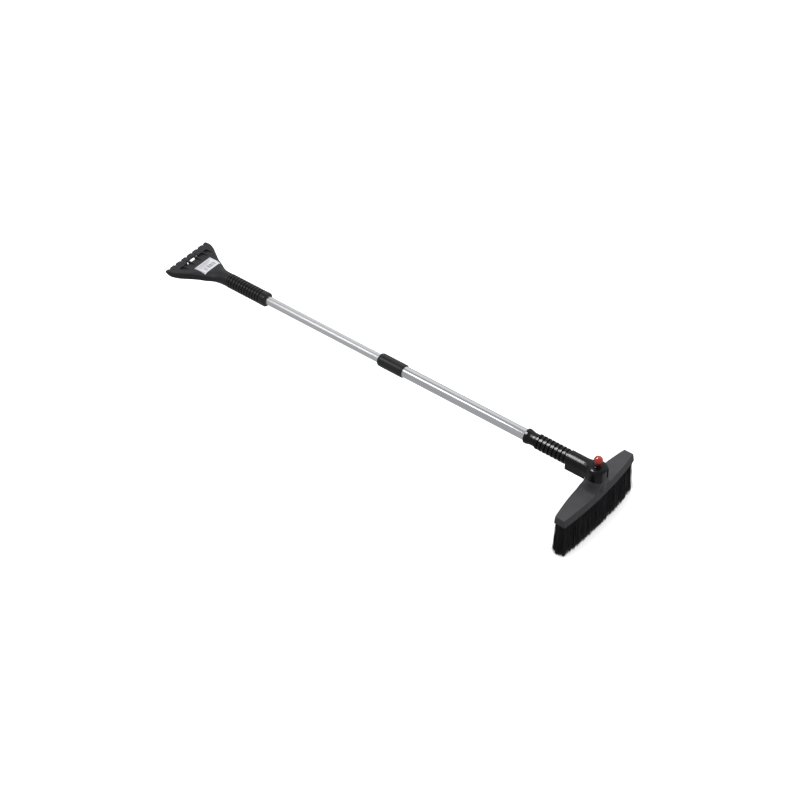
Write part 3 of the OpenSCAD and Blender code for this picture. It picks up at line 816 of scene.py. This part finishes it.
def bristle_row(number, count=3000):
    """Filaments of one row, thickest together at the root and spread a little at the tips."""
    rear_share, front_share = (number - 1) / ROWS, number / ROWS
    along = random.uniform(-1, 1, count)
    y0 = along * (BRUSH_HALF - 3.6)
    rear = edge_x(y0, REAR_BULGE, REAR_SAG, -1) + 3.8
    front = edge_x(y0, FRONT_BULGE, FRONT_SAG, 1) - 3.8
    place = rear_share + (front_share - rear_share) * random.uniform(0.02, 0.98, count)
    x0 = rear + (front - rear) * place
    outward = 2 * place - 1
    tip_x = 2.2 * outward * np.abs(outward) ** 1.5 + random.normal(0, 0.75, count)
    tip_y = 3.3 * np.sign(along) * np.abs(along) ** 9 + random.normal(0, 0.9, count)
    skirt_x = 2.0 * outward * np.abs(outward) ** 3
    # Filaments stand in tufts, and each tuft leans and ends a little differently.
    tuft = ((along + 1) * (TUFTS / 2 - 0.001)).astype(int)
    tip_x += random.normal(0, 0.5, TUFTS)[tuft]
    tip_y += random.normal(0, 1.0, TUFTS)[tuft]
    tip_z = 2.4 + random.normal(0, 1.2, TUFTS)[tuft] + random.normal(0, 1.1, count)
    tip_z = np.clip(tip_z, 0.15, 7.0)
    bend_x, bend_y = random.normal(0, 0.7, count), random.normal(0, 0.7, count)
    radius = random.uniform(0.30, 0.42, count)
    levels, sides = np.array([0.0, 0.12, 0.4, 0.7, 1.0]), 4
    turn = np.arange(sides) * 2 * math.pi / sides + random.uniform(0, 6.3, count)[:, None]
    points = []
    for s in levels:
        reach = s**1.6
        ease = min(1.0, s / 0.12)
        x = x0 + tip_x * reach + bend_x * math.sin(math.pi * s) + skirt_x * ease
        y = y0 + tip_y * reach + bend_y * math.sin(math.pi * s)
        z = ROOT_Z + (tip_z - ROOT_Z) * s
        thin = radius * (0.75 if s == 1 else 1)
        across = x[:, None] + thin[:, None] * np.cos(turn)
        along_y = y[:, None] + thin[:, None] * np.sin(turn)
        points.append(np.stack([across, along_y, np.repeat(z[:, None], sides, 1)], -1))
    points = np.stack(points, 1)
    ids = np.arange(count * len(levels) * sides).reshape(count, len(levels), sides)
    nxt = np.roll(ids, -1, 2)
    quads = np.stack([ids[:, :-1], nxt[:, :-1], nxt[:, 1:], ids[:, 1:]], -1).reshape(-1, 4)
    ends = [ids[:, -1, ::-1], ids[:, 0]]
    obj = new_mesh(f"filaments_{number}", points.reshape(-1, 3), [quads[:, ::-1], *ends])
    obj.data.shade_smooth()
    return finish_piece(obj, "brush_head", "bristle", BRISTLE, f"bristle_row_{number}")


for number in range(1, ROWS + 1):
    bristle_row(number)

# ---------------------------------------------------- CAD nodes shown as they are

KEPT = {
    "scraper_pin": STEEL, "lock_plug": LOCK, "lock_sleeve": NYLON, "expander_cone": LOCK,
    "tube_plug": LOCK, "plug_screw": STEEL, "thrust_washer": NYLON, "retaining_ring": STEEL,
    "button_stem": STEEL, "clutch_cone": LOCK, "stem_nut": STEEL, "bristle_block": BLOCK,
    "block_screws": STEEL,
}
for name, material in KEPT.items():
    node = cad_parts[name]
    node.data.materials.clear()
    node.data.materials.append(material)

# ---------------------------------------------------- floor, light and camera


def floor_material():
    """Pale paper, hardly uneven in tone."""
    material, tree, shader = node_material("floor_paper", (0.92, 0.92, 0.92), 0.85, 0.1)
    tinted(tree, noise(tree, 3, 4), (0.91,) * 3, (0.93,) * 3, shader.inputs["Base Color"])
    bumped(tree, shader, noise(tree, 200, 3), 0.02, 0.0002)
    return material


FLOOR_HALF = 9000
floor_corners = [(a * FLOOR_HALF, b * FLOOR_HALF, 0) for a, b in ((-1, -1), (1, -1), (1, 1), (-1, 1))]
floor = new_mesh("floor", floor_corners, [np.array([[0, 1, 2, 3]])])
floor.data.materials.append(floor_material())
# The floor is out of the reflections and casts no light back, so metal and gloss mirror the world.
floor.visible_glossy = False
floor.visible_diffuse = False

MIDDLE = Vector((-0.47, 0.0, 0.12))


def area_light(name, place, width, depth, watts, along=Vector((1, 0, 0))):
    """A soft rectangular light that faces the handle's middle. Its width runs along a direction."""
    data = bpy.data.lights.new(name, "AREA")
    data.shape = "RECTANGLE"
    data.size, data.size_y, data.energy = width, depth, watts
    obj = bpy.data.objects.new(name, data)
    bpy.context.collection.objects.link(obj)
    back = Vector(place).normalized()
    side = (along - along.dot(back) * back).normalized()
    up = back.cross(side)
    turned = Matrix((side, up, back)).transposed().to_4x4()
    obj.matrix_world = Matrix.Translation(MIDDLE + Vector(place)) @ turned
    obj.visible_camera = False
    return obj


# The two strips show in gloss only.
key = area_light("key_strip", (-0.95, -1.01, 1.61), 1.0, 0.70, 4.0, Vector((1, 0.12, 0.03)))
key.visible_diffuse = False
# The light over the brush end is there for the black housing, its bush and the button only.
accent = area_light("brush_end_light", (-0.53, -0.45, 1.84), 0.36, 1.1, 46)
accent.visible_diffuse = False
black_parts = bpy.data.collections.new("black_parts")
for obj in (housing, bush, button):
    black_parts.objects.link(obj)
accent.light_linking.receiver_collection = black_parts
area_light("back_softbox", (-0.3, 2.68, 2.25), 6.0, 4.2, 27)
overhead = area_light("overhead_fill", (0.0, 0.1, 4.2), 5.6, 5.6, 400)
overhead.visible_glossy = False

world = bpy.data.worlds.new("studio")
bpy.context.scene.world = world
world.use_nodes = True
background = world.node_tree.nodes["Background"]
background.inputs["Color"].default_value = (0.92, 0.93, 0.95, 1)
background.inputs["Strength"].default_value = 0.42

AZ, EL = math.radians(38.2), math.radians(42.4)
CAMERA_PLACE = (1.45318, -2.41188, 2.72462 + AXIS_Z * MM)
SENSOR, LENS = 36, 99.09
back = Vector((math.sin(AZ) * math.cos(EL), -math.cos(AZ) * math.cos(EL), math.sin(EL)))
right = Vector((math.cos(AZ), math.sin(AZ), 0))
turned = Matrix((right, back.cross(right), back)).transposed().to_4x4()
camera = bpy.data.objects.new("camera", bpy.data.cameras.new("camera"))
bpy.context.collection.objects.link(camera)
camera.matrix_world = Matrix.Translation(CAMERA_PLACE) @ turned
camera.data.sensor_width = SENSOR
camera.data.lens = LENS
camera.data.clip_start, camera.data.clip_end = 0.1, 50
bpy.context.scene.camera = camera
bpy.context.scene.view_settings.view_transform = "Standard"
